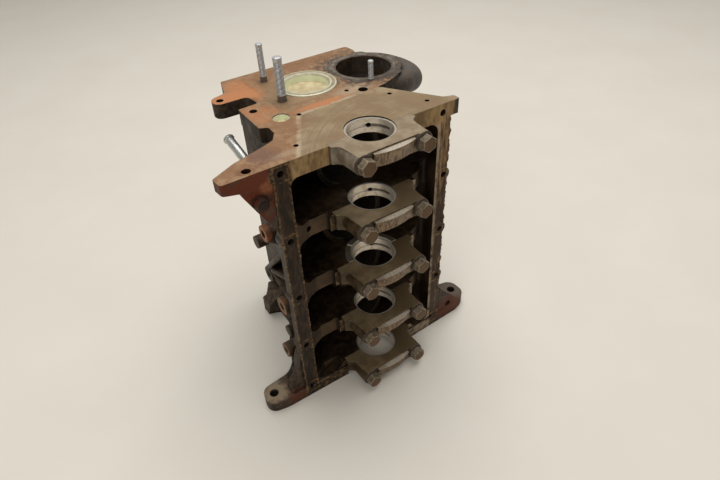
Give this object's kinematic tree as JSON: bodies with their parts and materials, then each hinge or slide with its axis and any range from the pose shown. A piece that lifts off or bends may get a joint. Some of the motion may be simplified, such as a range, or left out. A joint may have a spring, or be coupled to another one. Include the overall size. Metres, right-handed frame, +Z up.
{
  "type": "engine block",
  "caption": "Bare cast-iron cylinder block of an inline diesel standing on its rear face, with main bearing caps, shells, core plugs, studs and dipstick tube.",
  "frame": {"origin": "where the crankshaft axis meets the rear (bellhousing) face", "axes": "+X across the block towards the water pump side, +Y from the crankshaft to the cylinder-head deck, +Z up along the crankshaft from the rear face to the front (timing) face"},
  "size_m": [0.3656, 0.28, 0.44],
  "materials": {
    "block_iron": "rough as-cast iron, oil-stained brown with rust, machined on the faces",
    "cap_iron": "milled cast iron, dull olive-tan",
    "bolt_steel": "phosphated steel, worn bright at the edges",
    "bearing_metal": "smooth grey lining metal with fine turning lines",
    "plug_zinc": "pale yellow-green passivated zinc",
    "stud_zinc": "blue-grey zinc plate with worn thread",
    "tube_steel": "bright drawn steel tube",
    "gasket_fibre": "torn dark grey-brown gasket fibre"
  },
  "bodies": {
    "root": {"block_casting": "block_iron", "main_cap_1": "cap_iron", "main_cap_2": "cap_iron", "main_cap_3": "cap_iron", "main_cap_4": "cap_iron", "main_cap_5": "cap_iron", "cap_bolts_1": "bolt_steel", "cap_bolts_2": "bolt_steel", "cap_bolts_3": "bolt_steel", "cap_bolts_4": "bolt_steel", "cap_bolts_5": "bolt_steel", "upper_shell_1": "bearing_metal", "upper_shell_2": "bearing_metal", "upper_shell_3": "bearing_metal", "upper_shell_4": "bearing_metal", "upper_shell_5": "bearing_metal", "lower_shell_1": "bearing_metal", "lower_shell_2": "bearing_metal", "lower_shell_3": "bearing_metal", "lower_shell_4": "bearing_metal", "lower_shell_5": "bearing_metal", "thrust_washer_front": "bearing_metal", "thrust_washer_rear": "bearing_metal", "front_core_plug": "plug_zinc", "oil_gallery_plug": "plug_zinc", "side_core_plugs_left": "plug_zinc", "side_core_plugs_right": "plug_zinc", "tensioner_stud_upper": "stud_zinc", "tensioner_stud_lower": "stud_zinc", "water_pump_stud": "stud_zinc", "dipstick_tube": "tube_steel", "water_pump_gasket": "gasket_fibre"}
  },
  "joints": []
}
